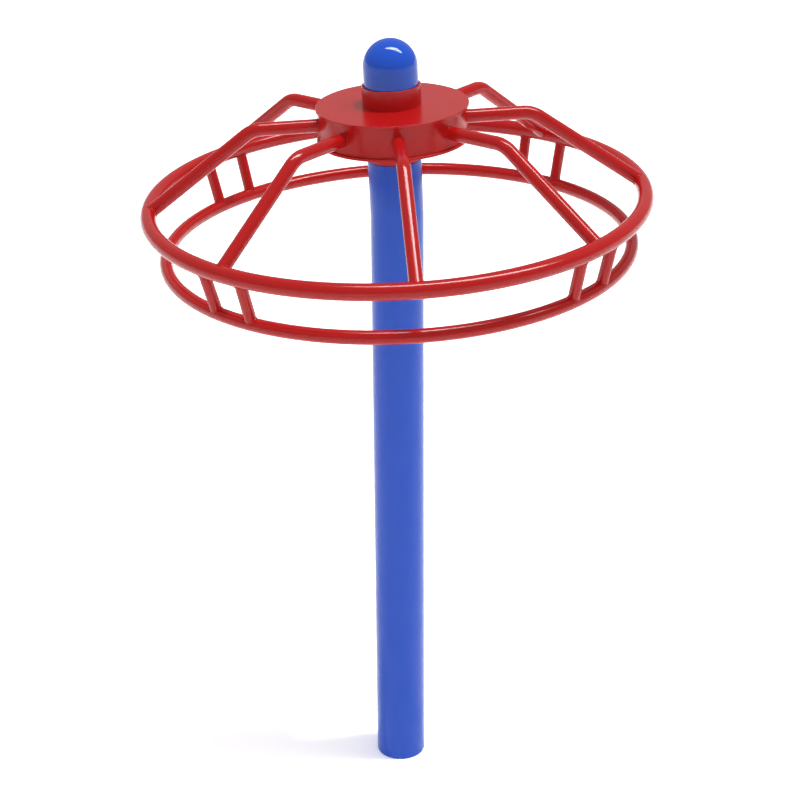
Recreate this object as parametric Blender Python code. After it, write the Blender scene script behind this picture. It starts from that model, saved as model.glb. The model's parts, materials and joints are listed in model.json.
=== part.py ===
"""Playground spinner: a wheel of two hand rings on eight bent spokes, turning on a bearing head on a post.

Sizes are in metres, with +Z up and the origin at the centre of the post's foot, on the ground. The head's
axis leans a little to -X and crosses the post's own axis at the knee. A rise is a height above the knee
along the leaning axis, and every piece above the post's top plate is drawn about that axis.
"""

import math

import bmesh
import bpy
from mathutils import Vector

# Fits
TOUCH_GAP = 0.0003
RUNNING_GAP = 0.002
SEAL_PLAY = 0.0005
BALL_PLAY = 0.0008
MERGE_DISTANCE = 0.00001
SHARP_ANGLE = math.radians(35)

# Post and its two inner plates
POST_RADIUS = 0.0635
POST_WALL = 0.004
KNEE_HEIGHT = 1.5375
LEAN = math.radians(2.17)
TOP_PLATE_INSERT = 0.012
BRACE_THICKNESS = 0.010
BRACE_RISE = 0.012

# Bearing hub, from its skirt below the drum to its neck inside the collar
HUB_FOOT_RISE = 0.1411
HUB_WALL = 0.0085
HUB_SKIRT = 0.0470
HUB_NECK = 0.028
HUB_EDGE = 0.0015
RACE_LIP = 0.007

# Drum
DRUM_HEIGHT = 0.0826
PLATE_THICKNESS = 0.00635
PLATE_EDGE = 0.001
PLATE_LIP = 0.005
DRUM_WALL_RADIUS = 0.1737
DRUM_WALL = 0.004

# Collar and dome cap
COLLAR_HEIGHT = 0.0468
COLLAR_WALL = 0.005
COLLAR_EDGE = 0.001
DOME_STRAIGHT = 0.0430
DOME_WALL = 0.003

# Hand rings
UPPER_RING_RADIUS = 0.5855
UPPER_RING_RISE = 0.0414
LOWER_RING_INSET = 0.0308
RING_DROP = 0.1172

# Spokes and struts. Each ring's tube is a little thicker than what is coped to it
SPOKE_COUNT = 8
SPOKE_TUBE = 0.015875
RING_OVER_SPOKE = 0.003175
SPOKE_LEVEL_RUN = 0.1526
SPOKE_BEND_RADIUS = 0.0653
FIRST_SPOKE = math.radians(3.9)
STRUT_TUBE = 0.0135
RING_OVER_STRUT = 0.002375
STRUT_OFFSET = 0.0564

# Spindle: each length above the lower bearing's seat is one step thinner
LOWER_SEAT = 0.030
SHOULDER_STEP = 0.006
UPPER_SEAT_STEP = 0.005
THREAD_STEP = 0.0055
SPINDLE_FOOT_RISE = 0.002
SPINDLE_CHAMFER = 0.002
STEP_RELIEF = 0.001

# Bearings: each is as thick, from seat to bore, as its race section
LOWER_BEARING_DEPTH = 0.0135
LOWER_RACE_SECTION = 0.025
LOWER_BEARING_WIDTH = 0.022
UPPER_BEARING_DEPTH = 0.024
UPPER_RACE_SECTION = 0.020
UPPER_BEARING_WIDTH = 0.020
BALLS = 8
BALL_SHARE = 0.3175
LAND_SHARE = 0.75
CAGE_HALF_WALL = 0.0011
CAGE_HALF_HEIGHT = 0.0035
SPACER_WALL = 0.009
SEAL_DEPTH = 0.002
SEAL_THICKNESS = 0.008
SEAL_LIP = 0.004

# Nut, washer and split pin. The pin lies on a slot's floor, and its hole takes both legs with a little play
WASHER_LIP = 0.0115
WASHER_THICKNESS = 0.004
NUT_WALL = 0.0105
NUT_HEIGHT = 0.030
NUT_SIDES = 6
NUT_SLOT_WIDTH = 0.0076
NUT_SLOT_DEPTH = 0.008
SPINDLE_OVER_NUT = 0.0055
PIN_WIRE = 0.0015
PIN_SPLIT = 0.0002
PIN_EYE = 0.0045
PIN_EYE_MOUTH = math.radians(40)
PIN_LEG = 0.011
PIN_PLAY = 0.0005

# Facets round each form. Pieces that fit in or on each other share a count, so that their gap is even
POST_FACETS = 32
HEAD_FACETS = 28
DRUM_FACETS = 40
RING_FACETS = 56
UPPER_RING_SIDES = 12
LOWER_RING_SIDES = 10
SPOKE_SIDES = 12
STRUT_SIDES = 10
DOME_STEPS = 7
DOME_INNER_STEPS = 4
BEND_STEPS = 4
GROOVE_STEPS = 3
EYE_STEPS = 9

# Worked out from the sizes above
LOWER_BEARING_OUTER = LOWER_SEAT + LOWER_RACE_SECTION
SPINDLE_SHOULDER = LOWER_SEAT + SHOULDER_STEP
UPPER_SEAT = LOWER_SEAT - UPPER_SEAT_STEP
UPPER_BEARING_OUTER = UPPER_SEAT + UPPER_RACE_SECTION
THREAD_RADIUS = UPPER_SEAT - THREAD_STEP
WASHER_RADIUS = THREAD_RADIUS + WASHER_LIP
NUT_HALF_FLATS = THREAD_RADIUS + NUT_WALL
HUB_RADIUS = LOWER_BEARING_OUTER + HUB_WALL
PLATE_RADIUS = DRUM_WALL_RADIUS + PLATE_LIP
UPPER_RING_TUBE = SPOKE_TUBE + RING_OVER_SPOKE
LOWER_RING_TUBE = STRUT_TUBE + RING_OVER_STRUT
SPOKE_BEND_REACH = DRUM_WALL_RADIUS + SPOKE_LEVEL_RUN
DRUM_RISE = HUB_FOOT_RISE + HUB_SKIRT
DRUM_TOP_RISE = DRUM_RISE + DRUM_HEIGHT
DRUM_MIDDLE_RISE = DRUM_RISE + DRUM_HEIGHT / 2
HUB_TOP_RISE = DRUM_TOP_RISE + HUB_NECK
COLLAR_TOP_RISE = DRUM_TOP_RISE + COLLAR_HEIGHT
DOME_CENTRE_RISE = COLLAR_TOP_RISE + DOME_STRAIGHT
POST_BORE = POST_RADIUS - POST_WALL
POST_TOP_RISE = HUB_FOOT_RISE - RUNNING_GAP
LOWER_RING_RADIUS = UPPER_RING_RADIUS - LOWER_RING_INSET
LOWER_RING_RISE = UPPER_RING_RISE - RING_DROP
LOWER_BEARING_RISE = HUB_FOOT_RISE + LOWER_BEARING_DEPTH
LOWER_BEARING_TOP = LOWER_BEARING_RISE + LOWER_BEARING_WIDTH
UPPER_BEARING_RISE = HUB_TOP_RISE - UPPER_BEARING_DEPTH
UPPER_BEARING_TOP = UPPER_BEARING_RISE + UPPER_BEARING_WIDTH
WASHER_RISE = UPPER_BEARING_TOP + TOUCH_GAP
NUT_RISE = WASHER_RISE + WASHER_THICKNESS + TOUCH_GAP
NUT_TOP_RISE = NUT_RISE + NUT_HEIGHT
PIN_LEG_RISE = PIN_WIRE + PIN_SPLIT
PIN_HALF_DEPTH = PIN_LEG_RISE + PIN_WIRE
PIN_HOLE = PIN_HALF_DEPTH + PIN_PLAY
PIN_RISE = NUT_TOP_RISE - NUT_SLOT_DEPTH + PIN_HALF_DEPTH + TOUCH_GAP


def clear_scene():
    """Remove every object, so that the file can be run again."""
    for obj in list(bpy.data.objects):
        bpy.data.objects.remove(obj, do_unlink=True)


def finish_colour(name, colour, roughness, metallic):
    """One Principled BSDF material."""
    material = bpy.data.materials.new(name)
    material.use_nodes = True
    shader = material.node_tree.nodes["Principled BSDF"]
    shader.inputs["Base Color"].default_value = (*colour, 1.0)
    shader.inputs["Roughness"].default_value = roughness
    shader.inputs["Metallic"].default_value = metallic
    material.diffuse_color = (*colour, 1.0)
    return material


def pivot(name, parent=None):
    """An empty that stands on a joint's axis."""
    empty = bpy.data.objects.new(name, None)
    bpy.context.scene.collection.objects.link(empty)
    empty.parent = parent
    return empty


def add_piece(name, bm, material=None, parent=None, turn=0.0):
    """Turn a bmesh into a named object, welded, facing out and shaded smooth."""
    bmesh.ops.remove_doubles(bm, verts=bm.verts, dist=MERGE_DISTANCE)
    bmesh.ops.recalc_face_normals(bm, faces=bm.faces)
    mesh = bpy.data.meshes.new(name)
    bm.to_mesh(mesh)
    bm.free()
    mesh.shade_smooth()
    mesh.set_sharp_from_angle(angle=SHARP_ANGLE)
    if material:
        mesh.materials.append(material)
    obj = bpy.data.objects.new(name, mesh)
    bpy.context.scene.collection.objects.link(obj)
    obj.parent = parent
    obj.rotation_euler.z = turn
    return obj


def add_cutter(name, bm, parent=None, turn=0.0):
    """A helper that Booleans read and no render shows."""
    cutter = add_piece(name, bm, None, parent, turn)
    cutter.hide_render = True
    cutter.display_type = "WIRE"
    return cutter


def combine(obj, tool, operation="DIFFERENCE"):
    """Cut obj by tool, or join the two."""
    modifier = obj.modifiers.new(tool.name, "BOOLEAN")
    modifier.operation = operation
    modifier.solver = "EXACT"
    modifier.object = tool


def arc(centre, radius, start, end, steps):
    """Points (radius, height) of an arc in the plane that a turned outline is drawn in."""
    points = []
    for step in range(steps + 1):
        angle = start + (end - start) * step / steps
        points.append((centre[0] + radius * math.cos(angle), centre[1] + radius * math.sin(angle)))
    return points


def turned(outline, facets):
    """A solid of revolution about Z. The outline is closed, unless its ends lie on the axis."""
    bm = bmesh.new()
    points = [bm.verts.new((radius, 0, height)) for radius, height in outline]
    on_axis = outline[0][0] == 0 and outline[-1][0] == 0
    follows = points[1:] if on_axis else points[1:] + points[:1]
    edges = [bm.edges.new(pair) for pair in zip(points, follows)]
    bmesh.ops.spin(
        bm, geom=points + edges, cent=(0, 0, 0), axis=(0, 0, 1), angle=math.tau, steps=facets, use_merge=True
    )
    return bm


def ring_of(inner, outer, low, high, facets):
    """A plain ring with a rectangular section."""
    return turned([(inner, low), (outer, low), (outer, high), (inner, high)], facets)


def hoop(radius, rise, tube, sides):
    """A tube bent into a full circle about the axis."""
    section = arc((radius, rise), tube, 0, math.tau, sides)[:-1]
    return turned(section, RING_FACETS)


def rod(radius, low, high, facets):
    """A plain cylinder about the axis."""
    return turned([(0, low), (radius, low), (radius, high), (0, high)], facets)


def swept(stations, radius, sides):
    """A round tube through stations (x, z, heading), drawn in the XZ plane with both ends capped."""
    bm = bmesh.new()
    rings = []
    for x, z, heading in stations:
        ring = []
        for side in range(sides):
            angle = math.tau * (side + 0.5) / sides
            across = radius * math.cos(angle)
            up = radius * math.sin(angle)
            ring.append(bm.verts.new((x - up * math.sin(heading), across, z + up * math.cos(heading))))
        rings.append(ring)
    for near, far in zip(rings, rings[1:]):
        for side in range(sides):
            after = (side + 1) % sides
            bm.faces.new((near[side], near[after], far[after], far[side]))
    bm.faces.new(rings[0])
    bm.faces.new(rings[-1])
    return bm


def spoke_stations():
    """The spoke's centreline: level out of the hub, one bend, then straight to the upper ring's centre."""
    fall = DRUM_MIDDLE_RISE - UPPER_RING_RISE
    slope = math.atan2(fall, UPPER_RING_RADIUS - SPOKE_BEND_REACH)
    bend_start = SPOKE_BEND_REACH - SPOKE_BEND_RADIUS * math.tan(slope / 2)
    stations = [(HUB_RADIUS - SPOKE_TUBE, DRUM_MIDDLE_RISE, 0.0)]
    for step in range(BEND_STEPS + 1):
        angle = slope * step / BEND_STEPS
        x = bend_start + SPOKE_BEND_RADIUS * math.sin(angle)
        z = DRUM_MIDDLE_RISE - SPOKE_BEND_RADIUS * (1 - math.cos(angle))
        stations.append((x, z, -angle))
    stations.append((UPPER_RING_RADIUS, UPPER_RING_RISE, -slope))
    return stations


def strut_stations():
    """The strut's centreline, from the upper ring's centre in and down to the lower ring's."""
    heading = math.atan2(-RING_DROP, -LOWER_RING_INSET)
    top = (UPPER_RING_RADIUS, UPPER_RING_RISE, heading)
    bottom = (LOWER_RING_RADIUS, LOWER_RING_RISE, heading)
    return [top, bottom]


def mitre(bm, above):
    """Slope the faces above a height so that they lie square to the leaning axis."""
    for vert in bm.verts:
        if vert.co.z > above:
            vert.co.z += vert.co.x * math.tan(LEAN)


def build_post(blue, steel, axis):
    """The post tube, its mitred top plate and the brace that steadies the spindle's foot."""
    top_height = KNEE_HEIGHT + POST_TOP_RISE / math.cos(LEAN)
    tube = ring_of(POST_BORE, POST_RADIUS, 0, top_height, POST_FACETS)
    mitre(tube, top_height / 2)
    add_piece("post_tube", tube, blue)

    insert_radius = POST_BORE - TOUCH_GAP
    hole = add_cutter(
        "spindle_hole",
        rod(LOWER_SEAT + TOUCH_GAP, SPINDLE_FOOT_RISE - BRACE_RISE, HUB_FOOT_RISE, HEAD_FACETS),
        axis,
    )
    top_plate = rod(insert_radius, top_height - TOP_PLATE_INSERT, top_height, POST_FACETS)
    mitre(top_plate, 0)
    combine(add_piece("post_top_plate", top_plate, steel), hole)

    brace_foot = KNEE_HEIGHT + BRACE_RISE
    brace = rod(insert_radius, brace_foot, brace_foot + BRACE_THICKNESS, POST_FACETS)
    combine(add_piece("spindle_brace", brace, steel), hole)


def build_spindle(steel, axis):
    """The stepped spindle: a shoulder on the top plate, two bearing seats and a cross-drilled thread."""
    shoulder_low = POST_TOP_RISE + TOUCH_GAP
    shoulder_high = LOWER_BEARING_RISE - TOUCH_GAP
    seat_end = LOWER_BEARING_TOP - STEP_RELIEF
    thread_start = UPPER_BEARING_TOP - STEP_RELIEF
    end = NUT_TOP_RISE + SPINDLE_OVER_NUT
    outline = [
        (0, SPINDLE_FOOT_RISE),
        (LOWER_SEAT - SPINDLE_CHAMFER, SPINDLE_FOOT_RISE),
        (LOWER_SEAT, SPINDLE_FOOT_RISE + SPINDLE_CHAMFER),
        (LOWER_SEAT, shoulder_low),
        (SPINDLE_SHOULDER, shoulder_low),
        (SPINDLE_SHOULDER, shoulder_high),
        (LOWER_SEAT, shoulder_high),
        (LOWER_SEAT, seat_end),
        (UPPER_SEAT, seat_end),
        (UPPER_SEAT, thread_start),
        (THREAD_RADIUS, thread_start),
        (THREAD_RADIUS, end - SPINDLE_CHAMFER),
        (THREAD_RADIUS - SPINDLE_CHAMFER, end),
        (0, end),
    ]
    spindle = add_piece("spindle", turned(outline, HEAD_FACETS), steel, axis)
    reach = THREAD_RADIUS + PIN_HOLE
    drill = swept([(-reach, PIN_RISE, 0.0), (reach, PIN_RISE, 0.0)], PIN_HOLE, SPOKE_SIDES)
    combine(spindle, add_cutter("pin_hole", drill, axis))


def race_outline(back, land, low, high, ball_centre, groove):
    """A race's section: a straight back, two lands and the ball groove between them."""
    half = math.acos(abs(land - ball_centre[0]) / groove)
    middle = 0 if land > ball_centre[0] else math.pi
    turn = half if land > ball_centre[0] else -half
    groove_points = arc(ball_centre, groove, middle - turn, middle + turn, GROOVE_STEPS)
    return [(back, low), (land, low), *groove_points, (land, high), (back, high)]


def build_bearing(level, seat, outer, low, width, materials, axis, head, cage_turn):
    """One ball bearing: an inner race on the spindle, an outer one in the hub, and a cage with its balls."""
    bearing_steel, cage_steel = materials
    high = low + width
    ball_centre = ((seat + outer) / 2, low + width / 2)
    ball_radius = BALL_SHARE * (outer - seat)
    groove = ball_radius + BALL_PLAY
    land = LAND_SHARE * ball_radius
    inner = race_outline(seat + TOUCH_GAP, ball_centre[0] - land, low, high, ball_centre, groove)
    add_piece(f"{level}_inner_race", turned(inner, HEAD_FACETS), bearing_steel, axis)
    outside = race_outline(outer - TOUCH_GAP, ball_centre[0] + land, low, high, ball_centre, groove)
    add_piece(f"{level}_outer_race", turned(outside, HEAD_FACETS), bearing_steel, head)

    cage = ring_of(
        ball_centre[0] - CAGE_HALF_WALL,
        ball_centre[0] + CAGE_HALF_WALL,
        ball_centre[1] - CAGE_HALF_HEIGHT,
        ball_centre[1] + CAGE_HALF_HEIGHT,
        HEAD_FACETS,
    )
    balls = bmesh.new()
    for ball in range(BALLS):
        angle = math.tau * ball / BALLS
        made = bmesh.ops.create_icosphere(balls, subdivisions=2, radius=ball_radius)
        place = Vector((ball_centre[0] * math.cos(angle), ball_centre[0] * math.sin(angle), ball_centre[1]))
        bmesh.ops.translate(balls, verts=made["verts"], vec=place)
    ball_set = add_cutter(f"{level}_ball_set", balls, cage_turn)
    combine(add_piece(f"{level}_ball_cage", cage, cage_steel, cage_turn), ball_set, "UNION")


def build_spacer(steel, axis):
    """The tube between the two inner races, which carries the nut's clamping load."""
    bore = UPPER_SEAT + TOUCH_GAP
    low = LOWER_BEARING_TOP + TOUCH_GAP
    high = UPPER_BEARING_RISE - TOUCH_GAP
    add_piece("race_spacer", ring_of(bore, UPPER_SEAT + SPACER_WALL, low, high, HEAD_FACETS), steel, axis)


def build_nut(zinc, axis):
    """The washer, the slotted nut and the split pin that locks it."""
    bore = THREAD_RADIUS + TOUCH_GAP
    washer = ring_of(bore, WASHER_RADIUS, WASHER_RISE, WASHER_RISE + WASHER_THICKNESS, HEAD_FACETS)
    add_piece("spindle_washer", washer, zinc, axis)

    half_flat = math.pi / NUT_SIDES
    corner = NUT_HALF_FLATS / math.cos(half_flat)
    nut = add_piece("spindle_nut", rod(corner, NUT_RISE, NUT_TOP_RISE, NUT_SIDES), zinc, axis, half_flat)
    bore_tool = rod(bore, NUT_RISE - NUT_SLOT_DEPTH, NUT_TOP_RISE + NUT_SLOT_DEPTH, HEAD_FACETS)
    combine(nut, add_cutter("nut_bore", bore_tool, axis))
    for slot in range(NUT_SIDES // 2):
        box = bmesh.new()
        bmesh.ops.create_cube(box, size=1)
        bmesh.ops.scale(box, verts=box.verts, vec=(3 * corner, NUT_SLOT_WIDTH, 2 * NUT_SLOT_DEPTH))
        bmesh.ops.translate(box, verts=box.verts, vec=(0, 0, NUT_TOP_RISE))
        combine(nut, add_cutter(f"nut_slot_{slot + 1}", box, axis, 2 * half_flat * slot))
    build_split_pin(zinc, axis)


def build_split_pin(zinc, axis):
    """One folded wire: an eye at -X, two legs through the spindle, and the tips bent apart outside the nut."""
    half = PIN_LEG_RISE
    bend = NUT_HALF_FLATS + 2 * PIN_WIRE
    eye_x = -bend - PIN_EYE
    eye = arc((eye_x, 0), PIN_EYE, PIN_EYE_MOUTH, math.tau - PIN_EYE_MOUTH, EYE_STEPS)
    route = [(bend, half + PIN_LEG), (bend, half + PIN_WIRE), (bend - PIN_WIRE, half), (-bend, half)]
    route += eye
    route += [(-bend, -half), (bend - PIN_WIRE, -half), (bend, -half - PIN_WIRE), (bend, -half - PIN_LEG)]
    curve = bpy.data.curves.new("split_pin", "CURVE")
    curve.dimensions = "3D"
    curve.bevel_depth = PIN_WIRE
    curve.bevel_resolution = 1
    curve.use_fill_caps = True
    spline = curve.splines.new("POLY")
    spline.points.add(len(route) - 1)
    for point, (x, z) in zip(spline.points, route):
        point.co = (x, 0, z, 1)
    curve.materials.append(zinc)
    pin = bpy.data.objects.new("split_pin", curve)
    bpy.context.scene.collection.objects.link(pin)
    pin.parent = axis
    pin.location.z = PIN_RISE


def build_hub(red, rubber, head):
    """The bored hub that holds both outer races, and the shaft seal under the lower one."""
    lower_bore = LOWER_BEARING_OUTER
    upper_bore = UPPER_BEARING_OUTER
    lower_step = LOWER_BEARING_TOP + TOUCH_GAP
    upper_step = UPPER_BEARING_RISE - TOUCH_GAP
    outline = [
        (lower_bore, HUB_FOOT_RISE),
        (HUB_RADIUS - HUB_EDGE, HUB_FOOT_RISE),
        (HUB_RADIUS, HUB_FOOT_RISE + HUB_EDGE),
        (HUB_RADIUS, HUB_TOP_RISE),
        (upper_bore, HUB_TOP_RISE),
        (upper_bore, upper_step),
        (upper_bore - RACE_LIP, upper_step),
        (upper_bore - RACE_LIP, upper_step - RACE_LIP),
        (lower_bore - RACE_LIP, upper_step - 2 * RACE_LIP),
        (lower_bore - RACE_LIP, lower_step),
        (lower_bore, lower_step),
    ]
    add_piece("bearing_hub", turned(outline, HEAD_FACETS), red, head)

    seal_low = HUB_FOOT_RISE + SEAL_DEPTH
    seal_high = seal_low + SEAL_THICKNESS
    lip = SPINDLE_SHOULDER + SEAL_PLAY
    seal_outer = lower_bore - TOUCH_GAP
    seal = [
        (lip, seal_low),
        (lip + SEAL_LIP, seal_low),
        (seal_outer - SEAL_LIP, seal_high - SEAL_LIP),
        (seal_outer, seal_low),
        (seal_outer, seal_high),
        (lip + SEAL_LIP, seal_high),
    ]
    add_piece("shaft_seal", turned(seal, HEAD_FACETS), rubber, head)


def build_drum(red, head):
    """The two lipped plates and, between them, the wall with a hole for each spoke."""
    bore = HUB_RADIUS + TOUCH_GAP
    bottom_top = DRUM_RISE + PLATE_THICKNESS
    top_low = DRUM_TOP_RISE - PLATE_THICKNESS
    for name, low in (("drum_bottom_plate", DRUM_RISE), ("drum_top_plate", top_low)):
        high = low + PLATE_THICKNESS
        outline = [
            (bore, low),
            (PLATE_RADIUS, low),
            (PLATE_RADIUS, high - PLATE_EDGE),
            (PLATE_RADIUS - PLATE_EDGE, high),
            (bore, high),
        ]
        add_piece(name, turned(outline, DRUM_FACETS), red, head)

    wall_bore = DRUM_WALL_RADIUS - DRUM_WALL
    wall = ring_of(wall_bore, DRUM_WALL_RADIUS, bottom_top + TOUCH_GAP, top_low - TOUCH_GAP, DRUM_FACETS)
    wall = add_piece("drum_wall", wall, red, head)
    start = (wall_bore - SPOKE_TUBE, DRUM_MIDDLE_RISE, 0.0)
    end = (DRUM_WALL_RADIUS + SPOKE_TUBE, DRUM_MIDDLE_RISE, 0.0)
    hole_radius = SPOKE_TUBE + TOUCH_GAP / math.cos(math.pi / SPOKE_SIDES)
    for spoke in range(SPOKE_COUNT):
        hole = swept([start, end], hole_radius, SPOKE_SIDES)
        combine(wall, add_cutter(f"spoke_hole_{spoke + 1}", hole, head, spoke_azimuth(spoke)))


def build_crown(red, blue, head):
    """The collar on the drum, and the dome cap whose skirt it holds over the hub's neck."""
    bore = HUB_RADIUS + TOUCH_GAP
    outer = bore + COLLAR_WALL
    collar = [
        (bore, DRUM_TOP_RISE + TOUCH_GAP),
        (outer, DRUM_TOP_RISE + TOUCH_GAP),
        (outer, COLLAR_TOP_RISE - COLLAR_EDGE),
        (outer - COLLAR_EDGE, COLLAR_TOP_RISE),
        (bore, COLLAR_TOP_RISE),
    ]
    add_piece("collar", turned(collar, HEAD_FACETS), red, head)

    centre = (0, DOME_CENTRE_RISE)
    foot = HUB_TOP_RISE + TOUCH_GAP
    inner = HUB_RADIUS - DOME_WALL
    outside = arc(centre, HUB_RADIUS, math.pi / 2, 0, DOME_STEPS)
    inside = arc(centre, inner, 0, math.pi / 2, DOME_INNER_STEPS)
    outside[0] = (0, DOME_CENTRE_RISE + HUB_RADIUS)
    inside[-1] = (0, DOME_CENTRE_RISE + inner)
    dome = outside + [(HUB_RADIUS, foot), (inner, foot)] + inside
    add_piece("dome_cap", turned(dome, HEAD_FACETS), blue, head)


def spoke_azimuth(spoke):
    """Where a spoke points, counted from +X in the head's own frame."""
    return FIRST_SPOKE + math.tau * spoke / SPOKE_COUNT


def build_wheel(red, head):
    """Both hand rings, the spokes coped to the hub and the upper ring, and the struts coped to both rings."""
    copes = []
    for name, radius, rise, tube, sides in (
        ("upper_ring", UPPER_RING_RADIUS, UPPER_RING_RISE, UPPER_RING_TUBE, UPPER_RING_SIDES),
        ("lower_ring", LOWER_RING_RADIUS, LOWER_RING_RISE, LOWER_RING_TUBE, LOWER_RING_SIDES),
    ):
        add_piece(name, hoop(radius, rise, tube, sides), red, head)
        grown = tube + TOUCH_GAP / math.cos(math.pi / sides)
        copes.append(add_cutter(f"{name}_cope", hoop(radius, rise, grown, sides), head))
    upper_cope, lower_cope = copes
    hub_grow = TOUCH_GAP / math.cos(math.pi / HEAD_FACETS)
    hub_core = rod(HUB_RADIUS + hub_grow, DRUM_RISE, DRUM_TOP_RISE, HEAD_FACETS)
    hub_cope = add_cutter("hub_cope", hub_core, head)

    strut_angle = math.asin(STRUT_OFFSET / UPPER_RING_RADIUS)
    for spoke in range(SPOKE_COUNT):
        azimuth = spoke_azimuth(spoke)
        tube = swept(spoke_stations(), SPOKE_TUBE, SPOKE_SIDES)
        tube = add_piece(f"spoke_{spoke + 1}", tube, red, head, azimuth)
        combine(tube, upper_cope)
        combine(tube, hub_cope)
        # Only every second spoke, those on the diagonals, stands between two struts.
        if spoke % 2 == 0:
            continue
        for number, side in ((spoke, -1), (spoke + 1, 1)):
            strut = swept(strut_stations(), STRUT_TUBE, STRUT_SIDES)
            strut = add_piece(f"strut_{number}", strut, red, head, azimuth + side * strut_angle)
            combine(strut, upper_cope)
            combine(strut, lower_cope)


def build_spinner():
    clear_scene()
    red = finish_colour("red_powder_coat", (0.48, 0.022, 0.028), 0.30, 0.0)
    blue = finish_colour("blue_powder_coat", (0.035, 0.085, 0.50), 0.32, 0.0)
    steel = finish_colour("machined_steel", (0.45, 0.45, 0.46), 0.35, 1.0)
    bearing_steel = finish_colour("bearing_steel", (0.60, 0.60, 0.62), 0.18, 1.0)
    cage_steel = finish_colour("cage_steel", (0.52, 0.48, 0.40), 0.30, 1.0)
    zinc = finish_colour("zinc_plate", (0.62, 0.64, 0.66), 0.30, 1.0)
    rubber = finish_colour("seal_rubber", (0.02, 0.02, 0.02), 0.75, 0.0)

    axis = pivot("leaning_axis")
    axis.location = (0, 0, KNEE_HEIGHT)
    axis.rotation_euler = (0, -LEAN, 0)
    head = pivot("head_turn", axis)

    build_post(blue, steel, axis)
    build_spindle(steel, axis)
    bearing_materials = (bearing_steel, cage_steel)
    build_bearing(
        "lower",
        LOWER_SEAT,
        LOWER_BEARING_OUTER,
        LOWER_BEARING_RISE,
        LOWER_BEARING_WIDTH,
        bearing_materials,
        axis,
        head,
        pivot("lower_cage_turn", axis),
    )
    build_bearing(
        "upper",
        UPPER_SEAT,
        UPPER_BEARING_OUTER,
        UPPER_BEARING_RISE,
        UPPER_BEARING_WIDTH,
        bearing_materials,
        axis,
        head,
        pivot("upper_cage_turn", axis),
    )
    build_spacer(steel, axis)
    build_nut(zinc, axis)
    build_hub(red, rubber, head)
    build_drum(red, head)
    build_crown(red, blue, head)
    build_wheel(red, head)


build_spinner()
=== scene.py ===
"""Looks of a playground spinner: powder-coated tube and plate, welds, studio light and the camera.

Sizes are in metres, with +Z up and the post's foot at the origin. Pieces above the post's knee are built in
the head's own frame, whose Z runs along the leaning axis and whose origin is the point on it that the head's
joint names.
"""

import json
import math

import bmesh
import bpy
from mathutils import Matrix, Vector


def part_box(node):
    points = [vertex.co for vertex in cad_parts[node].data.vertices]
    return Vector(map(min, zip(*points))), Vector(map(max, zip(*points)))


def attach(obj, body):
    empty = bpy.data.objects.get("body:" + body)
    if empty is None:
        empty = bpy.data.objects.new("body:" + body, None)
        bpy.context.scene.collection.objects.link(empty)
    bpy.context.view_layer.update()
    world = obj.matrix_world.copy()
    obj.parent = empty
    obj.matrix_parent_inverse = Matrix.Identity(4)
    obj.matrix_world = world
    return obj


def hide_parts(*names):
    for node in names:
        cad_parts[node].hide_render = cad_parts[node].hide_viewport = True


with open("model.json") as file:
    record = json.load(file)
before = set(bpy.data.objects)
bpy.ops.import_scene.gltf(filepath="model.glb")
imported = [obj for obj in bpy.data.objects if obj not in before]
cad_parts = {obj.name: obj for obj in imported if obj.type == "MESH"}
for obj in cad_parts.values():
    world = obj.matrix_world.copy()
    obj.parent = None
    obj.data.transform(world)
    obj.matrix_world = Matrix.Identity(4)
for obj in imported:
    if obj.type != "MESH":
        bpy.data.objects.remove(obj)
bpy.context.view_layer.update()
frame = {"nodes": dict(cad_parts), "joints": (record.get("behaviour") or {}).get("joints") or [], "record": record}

# Spokes, struts and the dome's wall, as the part's source has them
SPOKE_COUNT = 8
FIRST_SPOKE = math.radians(3.9)
SPOKE_TUBE = 0.015875
SPOKE_BEND_REACH = 0.3263
SPOKE_BEND_RADIUS = 0.0653
STRUT_TUBE = 0.0135
STRUT_OFFSET = 0.0564
DOME_WALL = 0.003

# The post's bend at its knee reaches this far up and down
KNEE_BLEND = 0.03

# Gaps: between the post and the plates inside it, and between the post's top and the hub that turns over it
INSERT_PLAY = 0.0003
FOOT_GAP = 0.0007

# Trims off the hoops' tubes and the dome's height, which keep them inside the CAD model's box
HAIR = 0.000003
DOME_SINK = 0.00006

# Radii of the broken edges of cut plate and of tube ends
PLATE_EDGE = 0.0012
TUBE_EDGE = 0.0008

# Weld beads: radius, the share by which it swells, and how many times it swells round each kind of joint
BEAD = 0.0017
BEAD_SWELL = 0.09
SPOKE_RING_SWELLS = 17
SPOKE_DRUM_SWELLS = 19
STRUT_UPPER_SWELLS = 13
STRUT_LOWER_SWELLS = 15

# Steps round or along each curve
ROUND_STEPS = 144
RING_STEPS = 288
TUBE_STEPS = 40
BEND_STEPS = 14
FILLET_STEPS = 4
DOME_STEPS = 28
BEAD_STEPS = 72
BEAD_SIDES = 10

# Halvings that find where a tube's skin meets a surface
HALVINGS = 30

# Faces that meet at more than this angle show an edge
SHARP_ANGLE = math.radians(40)

# Paint: each colour with a deeper one that mottles it, and its specular level, where 0.5 is plain plastic
RED_PAINT = ((0.530, 0.0085, 0.0085), (0.515, 0.0078, 0.0078))
BLUE_PAINT = ((0.016, 0.100, 0.670), (0.015, 0.096, 0.650))
PAINT_SPECULAR = 0.31

# Most of a noise texture's values lie between these two
NOISE_LOW = 0.3
NOISE_HIGH = 0.7

# Indexes of the sockets of a Mix node that blends colours
MIX_FIRST = 6
MIX_SECOND = 7
MIX_RESULT = 2

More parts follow.
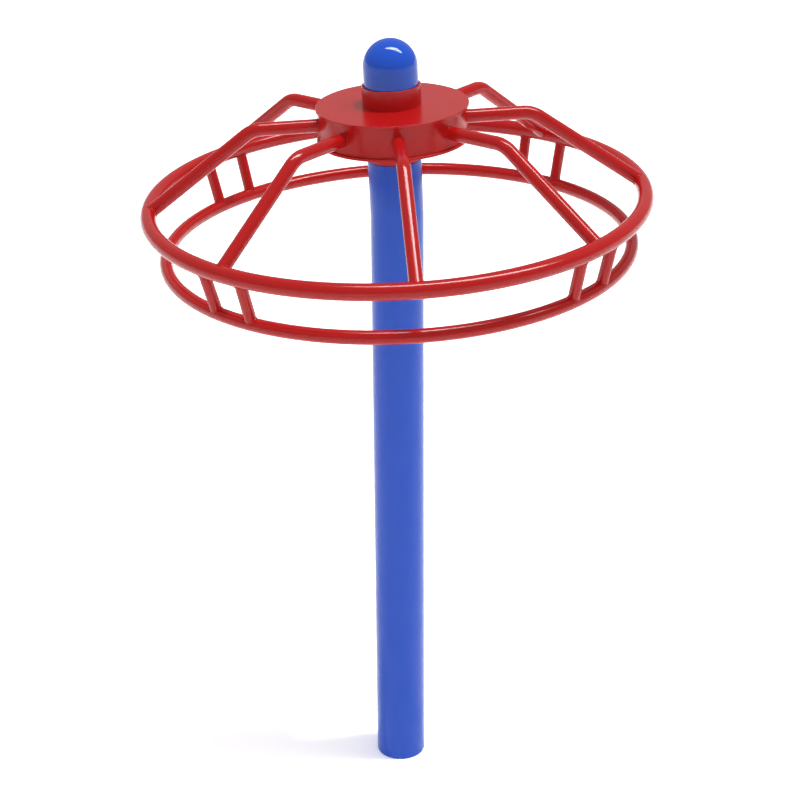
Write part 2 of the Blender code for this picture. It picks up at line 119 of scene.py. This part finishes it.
# Floor: its albedo fades from near to far, and the lens sees a brighter one, straight or in gloss. Its glow
# fills the shadows on it
FLOOR_SIZE = 120.0
FLOOR_SEGMENTS = 4
FLOOR_ALBEDO = 0.95
FLOOR_FAR_ALBEDO = 0.75
FLOOR_NEAR = 3.0
FLOOR_FAR = 7.0
FLOOR_SEEN_ALBEDO = 1.6
FLOOR_GLOW = 0.13

# Sky: its radiance level with the ground, and what it gains toward each axis
SKY_LEVEL = 0.435
SKY_SLOPE = (0.0, 0.0, 0.08)

# Lamps. The key is a sun, so its distance makes no difference. The softbox's ends and half-width are shares
# of its rise above the dome
KEY_DIRECTION = (0.2245, 0.017, 0.974)
KEY_DISTANCE = 8.0
KEY_ENERGY = 1.0
KEY_ANGLE = math.radians(3.5)
SOFTBOX_RISE = 8.0
SOFTBOX_ENDS = ((-0.26, 0.05), (0.94, -0.08))
SOFTBOX_HALF_WIDTH = 0.11
SOFTBOX_RADIANCE = 6.2
SOFTBOX_SHINE = 26.0
SHINE_DROP = 0.05

# Camera, fitted to the photograph. The focal length is in pixels of an image 800 wide
IMAGE_WIDTH = 800
SENSOR_WIDTH = 36.0
FOCAL_PIXELS = 1870.5
CAMERA_PLACE = (-0.0138, -4.1995, 3.0648)
CAMERA_YAW = math.radians(0.240)
CAMERA_PITCH = math.radians(25.668)
CAMERA_ROLL = math.radians(0.386)


def joint_frame():
    """The head's own frame, from the joint that turns it, and the angle by which it leans."""
    joint = next(found for found in frame["joints"] if found["name"] == "head_spin")
    lean = math.atan2(-joint["axis"][0], joint["axis"][2])
    return Matrix.Translation(joint["pos_m"]) @ Matrix.Rotation(-lean, 4, "Y"), lean


HEAD, LEAN = joint_frame()


def measured(node):
    """(inner radius, outer radius, lowest, highest) of a node that is turned about the head's axis."""
    to_head = HEAD.inverted()
    places = [to_head @ vertex.co for vertex in frame["nodes"][node].data.vertices]
    radii = [math.hypot(place.x, place.y) for place in places]
    heights = [place.z for place in places]
    return min(radii), max(radii), min(heights), max(heights)


def ring_size(node):
    """(radius of the centreline, height, radius of the tube) of a hand ring."""
    inner, outer, low, high = measured(node)
    return (inner + outer) / 2, (low + high) / 2, (outer - inner) / 2 - HAIR


def rounded(corners):
    """A closed outline of (radius, height, fillet) corners, with each fillet as an arc."""
    outline = []
    for index, (x, z, fillet) in enumerate(corners):
        corner = Vector((x, z))
        before = (Vector(corners[index - 1][:2]) - corner).normalized()
        after = (Vector(corners[(index + 1) % len(corners)][:2]) - corner).normalized()
        if fillet == 0:
            outline.append((x, z))
            continue
        half = before.angle(after) / 2
        middle = (before + after).normalized()
        centre = corner + middle * (fillet / math.sin(half))
        start = corner + before * (fillet / math.tan(half)) - centre
        end = corner + after * (fillet / math.tan(half)) - centre
        turn = start.angle_signed(end)
        for step in range(FILLET_STEPS + 1):
            arm = start.copy()
            arm.rotate(Matrix.Rotation(-turn * step / FILLET_STEPS, 2))
            outline.append((centre.x + arm.x, centre.y + arm.y))
    return outline


def turned(outline, steps=ROUND_STEPS, closed=True):
    """A surface of revolution about Z. An open outline starts and ends on the axis."""
    bm = bmesh.new()
    rows = []
    for radius, height in outline:
        if radius == 0:
            rows.append([bm.verts.new((0, 0, height))] * steps)
            continue
        row = []
        for step in range(steps):
            angle = math.tau * step / steps
            row.append(bm.verts.new((radius * math.cos(angle), radius * math.sin(angle), height)))
        rows.append(row)
    follows = rows[1:] + rows[:1] if closed else rows[1:]
    for lower, upper in zip(rows, follows):
        for step in range(steps):
            after = (step + 1) % steps
            corners = [lower[step], lower[after], upper[after], upper[step]]
            bm.faces.new(dict.fromkeys(corners))
    return bm


def hoop(radius, height, tube):
    """A tube bent into a full circle about the axis."""
    outline = []
    for side in range(TUBE_STEPS):
        angle = math.tau * side / TUBE_STEPS
        outline.append((radius + tube * math.cos(angle), height + tube * math.sin(angle)))
    return turned(outline, RING_STEPS)


def swept(stations, radius):
    """A round tube through stations (x, z, heading) in the XZ plane, with both ends capped."""
    bm = bmesh.new()
    rings = []
    for x, z, heading in stations:
        ring = []
        for side in range(TUBE_STEPS):
            angle = math.tau * side / TUBE_STEPS
            across = radius * math.cos(angle)
            up = radius * math.sin(angle)
            ring.append(bm.verts.new((x - up * math.sin(heading), across, z + up * math.cos(heading))))
        rings.append(ring)
    for near, far in zip(rings, rings[1:]):
        for side in range(TUBE_STEPS):
            after = (side + 1) % TUBE_STEPS
            bm.faces.new((near[side], near[after], far[after], far[side]))
    bm.faces.new(rings[0])
    bm.faces.new(rings[-1])
    return bm


def piece(name, bm, slot, body, stands_for=(), place=HEAD, finish=None):
    """Finish a bmesh as a piece that rides on a body and stands for the named nodes."""
    bmesh.ops.recalc_face_normals(bm, faces=bm.faces)
    mesh = bpy.data.meshes.new(name)
    bm.to_mesh(mesh)
    bm.free()
    mesh.transform(place)
    mesh.shade_smooth()
    mesh.set_sharp_from_angle(angle=SHARP_ANGLE)
    mesh.materials.append(finish or FINISHES[slot])
    obj = bpy.data.objects.new(name, mesh)
    bpy.context.scene.collection.objects.link(obj)
    normals = obj.modifiers.new("flat_faces", "WEIGHTED_NORMAL")
    normals.keep_sharp = True
    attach(obj, body)
    if stands_for:
        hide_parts(*stands_for)


class Finish:
    """A Principled BSDF material with helpers for its nodes."""

    def __init__(self, name, roughness, metallic=0.0):
        self.material = bpy.data.materials.new(name)
        self.material.use_nodes = True
        self.tree = self.material.node_tree
        self.shader = self.tree.nodes["Principled BSDF"]
        self.roughness = roughness
        self.shader.inputs["Roughness"].default_value = roughness
        self.shader.inputs["Metallic"].default_value = metallic
        self.place = self.add("ShaderNodeTexCoord").outputs["Object"]
        self.skin = None

    def add(self, kind, **values):
        """Add a node and set its own values."""
        node = self.tree.nodes.new(kind)
        for name, value in values.items():
            setattr(node, name, value)
        return node

    def join(self, output, target):
        """Link an output to an input."""
        self.tree.links.new(output, target)

    def noise(self, scale, detail, stretch=None):
        """Noise in the object's own space, in cells per metre."""
        texture = self.add("ShaderNodeTexNoise")
        texture.inputs["Scale"].default_value = scale
        texture.inputs["Detail"].default_value = detail
        source = self.place
        if stretch:
            mapping = self.add("ShaderNodeMapping")
            mapping.inputs["Scale"].default_value = stretch
            self.join(source, mapping.inputs["Vector"])
            source = mapping.outputs["Vector"]
        self.join(source, texture.inputs["Vector"])
        return texture.outputs["Fac"]

    def spread(self, value, low, high):
        """Map a noise value onto a range."""
        node = self.add("ShaderNodeMapRange")
        node.inputs["From Min"].default_value = NOISE_LOW
        node.inputs["From Max"].default_value = NOISE_HIGH
        node.inputs["To Min"].default_value = low
        node.inputs["To Max"].default_value = high
        self.join(value, node.inputs["Value"])
        return node.outputs["Result"]

    def colours(self, value, first, second):
        """Blend two colours by a noise value, into the base colour."""
        mix = self.add("ShaderNodeMix", data_type="RGBA")
        mix.inputs[MIX_FIRST].default_value = (*first, 1.0)
        mix.inputs[MIX_SECOND].default_value = (*second, 1.0)
        self.join(self.spread(value, 0.0, 1.0), mix.inputs["Factor"])
        self.join(mix.outputs[MIX_RESULT], self.shader.inputs["Base Color"])

    def cloud(self, value, least, most):
        """Vary the roughness by a noise value, between two shares of what it is."""
        clouded = self.spread(value, self.roughness * least, self.roughness * most)
        self.join(clouded, self.shader.inputs["Roughness"])

    def bump(self, value, strength, distance):
        """Add a layer of bumps, as high as the distance in metres, to those that are there."""
        layer = self.add("ShaderNodeBump")
        layer.inputs["Strength"].default_value = strength
        layer.inputs["Distance"].default_value = distance
        self.join(value, layer.inputs["Height"])
        if self.skin:
            self.join(self.skin, layer.inputs["Normal"])
        self.skin = layer.outputs["Normal"]
        self.join(self.skin, self.shader.inputs["Normal"])


def powder_coat(name, colour, deep, roughness):
    """Baked powder paint: a faint mottle, an orange-peel skin and fine grains."""
    finish = Finish(name, roughness)
    finish.shader.inputs["Specular IOR Level"].default_value = PAINT_SPECULAR
    finish.colours(finish.noise(scale=9.0, detail=3.0), colour, deep)
    finish.cloud(finish.noise(scale=55.0, detail=3.0), least=0.88, most=1.15)
    finish.bump(finish.noise(scale=220.0, detail=1.0), strength=0.04, distance=0.00003)
    finish.bump(finish.noise(scale=1400.0, detail=1.0), strength=0.05, distance=0.00001)
    return finish.material


def turned_steel(name, colour, deep, roughness):
    """Machined steel: fine rings left by the tool, which run round the axis."""
    finish = Finish(name, roughness, metallic=1.0)
    finish.colours(finish.noise(scale=30.0, detail=4.0), colour, deep)
    marks = finish.noise(scale=12.0, detail=2.0, stretch=(1.0, 1.0, 160.0))
    finish.cloud(marks, least=0.8, most=1.3)
    finish.bump(marks, strength=0.12, distance=0.00005)
    return finish.material


def zinc_coat(name, colour, deep, roughness):
    """Bright zinc plating, slightly clouded."""
    finish = Finish(name, roughness, metallic=1.0)
    finish.colours(finish.noise(scale=180.0, detail=4.0), colour, deep)
    finish.bump(finish.noise(scale=900.0, detail=3.0), strength=0.08, distance=0.00004)
    return finish.material


def rubber(name, colour, deep, roughness):
    """Moulded nitrile rubber."""
    finish = Finish(name, roughness)
    finish.colours(finish.noise(scale=60.0, detail=3.0), colour, deep)
    finish.bump(finish.noise(scale=1100.0, detail=3.0), strength=0.25, distance=0.00008)
    return finish.material


RED = "red_powder_coat"
BLUE = "blue_powder_coat"
STEEL = "machined_steel"
FINISHES = {
    RED: powder_coat("red_powder_paint", *RED_PAINT, 0.22),
    BLUE: powder_coat("blue_powder_paint", *BLUE_PAINT, 0.08),
    STEEL: turned_steel("turned_steel", (0.46, 0.46, 0.47), (0.40, 0.40, 0.41), 0.32),
    "bearing_steel": turned_steel("ground_steel", (0.62, 0.62, 0.64), (0.57, 0.57, 0.59), 0.16),
    "cage_steel": turned_steel("pressed_steel", (0.53, 0.49, 0.41), (0.47, 0.43, 0.35), 0.28),
    "zinc_plate": zinc_coat("bright_zinc", (0.64, 0.66, 0.68), (0.56, 0.58, 0.60), 0.30),
    "seal_rubber": rubber("black_rubber", (0.022, 0.022, 0.022), (0.016, 0.016, 0.016), 0.72),
}
# Drawn tube takes the red with more gloss than the cut plates do, and the post is duller than the dome.
TUBE_FINISH = powder_coat("red_tube_paint", *RED_PAINT, 0.16)
POST_FINISH = powder_coat("blue_post_paint", *BLUE_PAINT, 0.2)


def finish_inner_nodes():
    """Give each of the frame's own nodes the finish of its slot, for those that no piece replaces."""
    for subpart in frame["record"]["subparts"]:
        node = frame["nodes"][subpart["node"]]
        node.data.materials.clear()
        node.data.materials.append(FINISHES[subpart["material_slot"]])


def build_post():
    """The post tube, upright to its knee and then along the head's axis, and the two plates inside it."""
    low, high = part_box("post_tube")
    radius = high.x
    skin = frame["nodes"]["post_tube"].data.vertices
    bore = min(math.hypot(vertex.co.x, vertex.co.y) for vertex in skin)
    knee = HEAD.translation.z
    top = knee + measured("post_tube")[3]
    rows = [knee - KNEE_BLEND, knee, knee + KNEE_BLEND]
    corners = [(bore, low.z, TUBE_EDGE), (radius, low.z, TUBE_EDGE)]
    corners += [(radius, height, 0) for height in rows]
    corners += [(radius, top, TUBE_EDGE), (bore, top, TUBE_EDGE)]
    corners += [(bore, height, 0) for height in reversed(rows)]
    bm = turned(rounded(corners))
    # Above the knee the tube follows the head, and its row at the knee leans half as much.
    for vertex in bm.verts:
        rise = vertex.co.z - knee
        if rise > KNEE_BLEND / 2:
            vertex.co = HEAD @ Vector((vertex.co.x, vertex.co.y, rise))
        elif rise > -KNEE_BLEND / 2:
            vertex.co.z += vertex.co.x * math.tan(LEAN / 2)
    piece("blue_post", bm, BLUE, "post", ["post_tube"], Matrix.Identity(4), POST_FINISH)

    plate_low, plate_high = measured("post_top_plate")[2:]
    brace_low, brace_high = (corner.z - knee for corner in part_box("spindle_brace"))
    rim = bore - INSERT_PLAY
    for name, node, foot, head in (
        ("post_lid", "post_top_plate", plate_low, plate_high),
        ("spindle_stay", "spindle_brace", brace_low, brace_high),
    ):
        hole = measured(node)[0]
        corners = [(hole, foot), (rim, foot), (rim, head), (hole, head)]
        piece(name, turned(corners), STEEL, "post", [node])


def build_drum():
    """The hub, the two plates, the wall between them and the collar. The edges that show are broken."""
    _, hub, _, hub_high = measured("bearing_hub")
    foot = measured("post_tube")[3] + FOOT_GAP
    corners = [
        (measured("lower_outer_race")[1], foot, TUBE_EDGE),
        (hub, foot, TUBE_EDGE),
        (hub, hub_high, PLATE_EDGE),
        (measured("upper_outer_race")[1], hub_high, TUBE_EDGE),
    ]
    piece("hub_sleeve", turned(rounded(corners)), RED, "head", ["bearing_hub"])

    for name, node in (("drum_floor", "drum_bottom_plate"), ("drum_lid", "drum_top_plate")):
        _, rim, low, high = measured(node)
        corners = [(hub, low, 0), (rim, low, PLATE_EDGE), (rim, high, PLATE_EDGE), (hub, high, 0)]
        piece(name, turned(rounded(corners)), RED, "head", [node])

    bore, wall, _, _ = measured("drum_wall")
    low = measured("drum_bottom_plate")[3]
    high = measured("drum_top_plate")[2]
    corners = [(bore, low), (wall, low), (wall, high), (bore, high)]
    piece("drum_band", turned(corners), RED, "head", ["drum_wall"])

    bore, collar, _, high = measured("collar")
    low = measured("drum_top_plate")[3]
    corners = [(bore, low, 0), (collar, low, 0), (collar, high, PLATE_EDGE), (bore, high, PLATE_EDGE)]
    piece("dome_collar", turned(rounded(corners)), RED, "head", ["collar"])


def build_dome():
    """The dome cap: a straight skirt inside the collar under a half ball."""
    _, radius, low, high = measured("dome_cap")
    inner = radius - DOME_WALL
    centre = high - radius - DOME_SINK
    outline = [(0, centre + radius)]
    for step in range(1, DOME_STEPS + 1):
        angle = math.pi / 2 * (1 - step / DOME_STEPS)
        outline.append((radius * math.cos(angle), centre + radius * math.sin(angle)))
    outline += [(radius, low), (inner, low)]
    for step in range(DOME_STEPS):
        angle = math.pi / 2 * step / DOME_STEPS
        outline.append((inner * math.cos(angle), centre + inner * math.sin(angle)))
    outline.append((0, centre + inner))
    piece("blue_dome", turned(outline, closed=False), BLUE, "head", ["dome_cap"])


def joint_line(start, end, tube, outside):
    """Where a tube's skin meets another surface: points, each with the direction away from the tube's axis.

    The tube runs from start, clear of the other surface, to end, inside it. outside(point) is the point's
    height above that surface.
    """
    direction = (end - start).normalized()
    across = direction.cross(Vector((0, 0, 1))).normalized()
    upward = across.cross(direction)
    points = []
    for step in range(BEAD_STEPS):
        angle = math.tau * step / BEAD_STEPS
        out = across * math.cos(angle) + upward * math.sin(angle)
        near, far = 0.0, (end - start).length
        for _ in range(HALVINGS):
            middle = (near + far) / 2
            if outside(start + direction * middle + out * tube) > 0:
                near = middle
            else:
                far = middle
        points.append((start + direction * near + out * tube, out))
    return points


def add_bead(bm, points, swells):
    """A weld bead along a closed line, thicker and thinner where the torch stopped and went on."""
    count = len(points)
    rings = []
    for index, (place, out) in enumerate(points):
        along = (points[(index + 1) % count][0] - points[index - 1][0]).normalized()
        side = along.cross(out).normalized()
        up = side.cross(along)
        swell = 1 + BEAD_SWELL * math.sin(math.tau * swells * index / count)
        ring = []
        for corner in range(BEAD_SIDES):
            angle = math.tau * corner / BEAD_SIDES
            arm = (side * math.cos(angle) + up * math.sin(angle)) * BEAD * swell
            ring.append(bm.verts.new(place + arm))
        rings.append(ring)
    for index in range(count):
        near, far = rings[index], rings[(index + 1) % count]
        for corner in range(BEAD_SIDES):
            after = (corner + 1) % BEAD_SIDES
            bm.faces.new((near[corner], near[after], far[after], far[corner]))


def above_hoop(radius, height, tube):
    """A function that gives a point's height above a hoop's skin."""
    return lambda point: math.hypot(math.hypot(point.x, point.y) - radius, point.z - height) - tube


def above_drum(radius):
    """A function that gives a point's height above the drum's wall."""
    return lambda point: math.hypot(point.x, point.y) - radius


def spoke_stations(reach, level, ring_radius, ring_height):
    """The spoke's centreline: level out of the hub, one bend, then straight to the upper ring's centre."""
    slope = math.atan2(level - ring_height, ring_radius - SPOKE_BEND_REACH)
    bend_start = SPOKE_BEND_REACH - SPOKE_BEND_RADIUS * math.tan(slope / 2)
    stations = [(reach, level, 0.0)]
    for step in range(BEND_STEPS + 1):
        angle = slope * step / BEND_STEPS
        x = bend_start + SPOKE_BEND_RADIUS * math.sin(angle)
        z = level - SPOKE_BEND_RADIUS * (1 - math.cos(angle))
        stations.append((x, z, -angle))
    stations.append((ring_radius, ring_height, -slope))
    return stations


def build_wheel():
    """Both hand rings, the spokes and struts that carry them, and the welds where they meet."""
    upper_ring = ring_size("upper_ring")
    lower_ring = ring_size("lower_ring")
    for name, node, ring in (
        ("upper_hand_ring", "upper_ring", upper_ring),
        ("lower_hand_ring", "lower_ring", lower_ring),
    ):
        piece(name, hoop(*ring), RED, "head", [node], finish=TUBE_FINISH)

    upper, upper_height, _ = upper_ring
    lower, lower_height, _ = lower_ring
    level = (measured("drum_bottom_plate")[2] + measured("drum_top_plate")[3]) / 2
    hub = measured("bearing_hub")[1]
    stations = spoke_stations(hub, level, upper, upper_height)
    heading = math.atan2(lower_height - upper_height, lower - upper)
    strut_stations = [(upper, upper_height, heading), (lower, lower_height, heading)]
    strut_turn = math.asin(STRUT_OFFSET / upper)

    on_upper = above_hoop(*upper_ring)
    on_lower = above_hoop(*lower_ring)
    on_drum = above_drum(measured("drum_wall")[1])
    upper_centre = Vector((upper, 0, upper_height))
    lower_centre = Vector((lower, 0, lower_height))
    half_way = (upper_centre + lower_centre) / 2
    bend_end = Vector((stations[-2][0], 0, stations[-2][1]))
    clear_of_drum = Vector((bend_end.x, 0, level))
    spoke_root = Vector((hub, 0, level))
    lines = {
        "spoke": [
            (joint_line(bend_end, upper_centre, SPOKE_TUBE, on_upper), SPOKE_RING_SWELLS),
            (joint_line(clear_of_drum, spoke_root, SPOKE_TUBE, on_drum), SPOKE_DRUM_SWELLS),
        ],
        "strut": [
            (joint_line(half_way, upper_centre, STRUT_TUBE, on_upper), STRUT_UPPER_SWELLS),
            (joint_line(half_way, lower_centre, STRUT_TUBE, on_lower), STRUT_LOWER_SWELLS),
        ],
    }
    welds = {"spoke": bmesh.new(), "strut": bmesh.new()}

    def place_tube(kind, number, tube, tube_stations, azimuth):
        turn = Matrix.Rotation(azimuth, 4, "Z")
        bm = swept(tube_stations, tube)
        piece(f"{kind}_tube_{number}", bm, RED, "head", [f"{kind}_{number}"], HEAD @ turn, TUBE_FINISH)
        for line, swells in lines[kind]:
            add_bead(welds[kind], [(turn @ point, turn @ out) for point, out in line], swells)

    for spoke in range(SPOKE_COUNT):
        azimuth = FIRST_SPOKE + math.tau * spoke / SPOKE_COUNT
        place_tube("spoke", spoke + 1, SPOKE_TUBE, stations, azimuth)
        # Only the diagonal spokes stand over a pair of struts.
        if spoke % 2:
            place_tube("strut", spoke, STRUT_TUBE, strut_stations, azimuth - strut_turn)
            place_tube("strut", spoke + 1, STRUT_TUBE, strut_stations, azimuth + strut_turn)
    for kind, bm in welds.items():
        piece(f"{kind}_welds", bm, RED, "head", finish=TUBE_FINISH)


def lens_share(tree):
    """A socket that is 1 for the camera's rays and for those that a gloss or glass sends on, and else 0."""
    path = tree.nodes.new("ShaderNodeLightPath")
    share = path.outputs["Is Camera Ray"]
    for kind in ("Is Glossy Ray", "Is Transmission Ray"):
        total = tree.nodes.new("ShaderNodeMath")
        total.operation = "ADD"
        total.use_clamp = True
        tree.links.new(share, total.inputs[0])
        tree.links.new(path.outputs[kind], total.inputs[1])
        share = total.outputs[0]
    return share


def floor_material():
    """A pale floor that dims far from the object, and white with the object's shadow kept for the lens."""
    material = bpy.data.materials.new("floor_white")
    material.use_nodes = True
    tree = material.node_tree
    tree.nodes.clear()
    distance = tree.nodes.new("ShaderNodeVectorMath")
    distance.operation = "LENGTH"
    tree.links.new(tree.nodes.new("ShaderNodeTexCoord").outputs["Object"], distance.inputs[0])
    fade = tree.nodes.new("ShaderNodeMapRange")
    fade.inputs["From Min"].default_value = FLOOR_NEAR
    fade.inputs["From Max"].default_value = FLOOR_FAR
    fade.inputs["To Min"].default_value = FLOOR_ALBEDO
    fade.inputs["To Max"].default_value = FLOOR_FAR_ALBEDO
    tree.links.new(distance.outputs["Value"], fade.inputs["Value"])
    paint = tree.nodes.new("ShaderNodeBsdfDiffuse")
    tree.links.new(fade.outputs["Result"], paint.inputs["Color"])
    seen_paint = tree.nodes.new("ShaderNodeBsdfDiffuse")
    seen = FLOOR_SEEN_ALBEDO
    seen_paint.inputs["Color"].default_value = (seen, seen, seen, 1.0)
    mix = tree.nodes.new("ShaderNodeMixShader")
    tree.links.new(lens_share(tree), mix.inputs[0])
    tree.links.new(paint.outputs[0], mix.inputs[1])
    tree.links.new(seen_paint.outputs[0], mix.inputs[2])
    glow = tree.nodes.new("ShaderNodeEmission")
    glow.inputs["Strength"].default_value = FLOOR_GLOW
    both = tree.nodes.new("ShaderNodeAddShader")
    tree.links.new(mix.outputs[0], both.inputs[0])
    tree.links.new(glow.outputs[0], both.inputs[1])
    out = tree.nodes.new("ShaderNodeOutputMaterial")
    tree.links.new(both.outputs[0], out.inputs["Surface"])
    return material


def build_floor():
    """The floor that the post stands on, which is also the whole background of the photograph's view."""
    bm = bmesh.new()
    bmesh.ops.create_grid(bm, x_segments=FLOOR_SEGMENTS, y_segments=FLOOR_SEGMENTS, size=FLOOR_SIZE / 2)
    mesh = bpy.data.meshes.new("studio_floor")
    bm.to_mesh(mesh)
    bm.free()
    mesh.materials.append(floor_material())
    floor = bpy.data.objects.new("studio_floor", mesh)
    bpy.context.scene.collection.objects.link(floor)


def build_sky():
    """A dim sky, a little brighter overhead."""
    world = bpy.data.worlds.new("studio")
    bpy.context.scene.world = world
    world.use_nodes = True
    tree = world.node_tree
    background = tree.nodes["Background"]
    background.inputs["Color"].default_value = (1, 1, 1, 1)
    slope = tree.nodes.new("ShaderNodeVectorMath")
    slope.operation = "DOT_PRODUCT"
    slope.inputs[1].default_value = SKY_SLOPE
    tree.links.new(tree.nodes.new("ShaderNodeTexCoord").outputs["Generated"], slope.inputs[0])
    radiance = tree.nodes.new("ShaderNodeMath")
    radiance.operation = "ADD"
    radiance.inputs[1].default_value = SKY_LEVEL
    tree.links.new(slope.outputs["Value"], radiance.inputs[0])
    tree.links.new(radiance.outputs[0], background.inputs["Strength"])


def build_lights():
    """A compact key light, and a long softbox over the dome that makes the thin streaks on the tubes.

    The streaks need a brighter softbox than the light on the object does, so it is two lamps. One gives only
    diffuse light. The other, a little below it, shows only in gloss.
    """
    key = bpy.data.lights.new("key", "SUN")
    key.energy = KEY_ENERGY
    key.angle = KEY_ANGLE
    toward = Vector(KEY_DIRECTION).normalized()
    lamp = place_light(key, toward * KEY_DISTANCE, toward, toward.orthogonal())
    lamp.visible_glossy = False

    low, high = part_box("dome_cap")
    dome = Vector(((low.x + high.x) / 2, (low.y + high.y) / 2, high.z - (high.x - low.x) / 2))
    first, last = (dome + Vector((*end, 1.0)) * SOFTBOX_RISE for end in SOFTBOX_ENDS)
    for name, radiance, drop in (
        ("softbox", SOFTBOX_RADIANCE, 0),
        ("softbox_shine", SOFTBOX_SHINE, SHINE_DROP),
    ):
        box = bpy.data.lights.new(name, "AREA")
        box.shape = "ELLIPSE"
        box.size = (last - first).length
        box.size_y = 2 * SOFTBOX_HALF_WIDTH * SOFTBOX_RISE
        # A flat lamp's power is pi times its radiance times its area.
        box.energy = radiance * math.pi * math.pi / 4 * box.size * box.size_y
        place = (first + last) / 2 - Vector((0, 0, drop))
        lamp = place_light(box, place, Vector((0, 0, 1)), last - first)
        lamp.visible_diffuse = name == "softbox"
        lamp.visible_glossy = name == "softbox_shine"


def place_light(light, place, back, along):
    """A lamp at a place, which shines against the direction back and has its own X along another."""
    lamp = bpy.data.objects.new(light.name, light)
    bpy.context.scene.collection.objects.link(lamp)
    across = (along - back * along.dot(back)).normalized()
    turn = Matrix((across, back.cross(across), back)).transposed()
    lamp.matrix_world = Matrix.Translation(place) @ turn.to_4x4()
    return lamp


def build_camera():
    """The photograph's camera, from its yaw, pitch down and roll."""
    data = bpy.data.cameras.new("photo_camera")
    data.sensor_width = SENSOR_WIDTH
    data.lens = FOCAL_PIXELS * SENSOR_WIDTH / IMAGE_WIDTH
    camera = bpy.data.objects.new("photo_camera", data)
    bpy.context.scene.collection.objects.link(camera)
    look = Matrix.Rotation(-CAMERA_YAW, 4, "Z") @ Matrix.Rotation(math.pi / 2 - CAMERA_PITCH, 4, "X")
    camera.matrix_world = Matrix.Translation(CAMERA_PLACE) @ look @ Matrix.Rotation(-CAMERA_ROLL, 4, "Z")
    bpy.context.scene.camera = camera


finish_inner_nodes()
build_post()
build_drum()
build_dome()
build_wheel()
build_floor()
build_sky()
build_lights()
build_camera()
bpy.context.scene.view_settings.view_transform = "Standard"
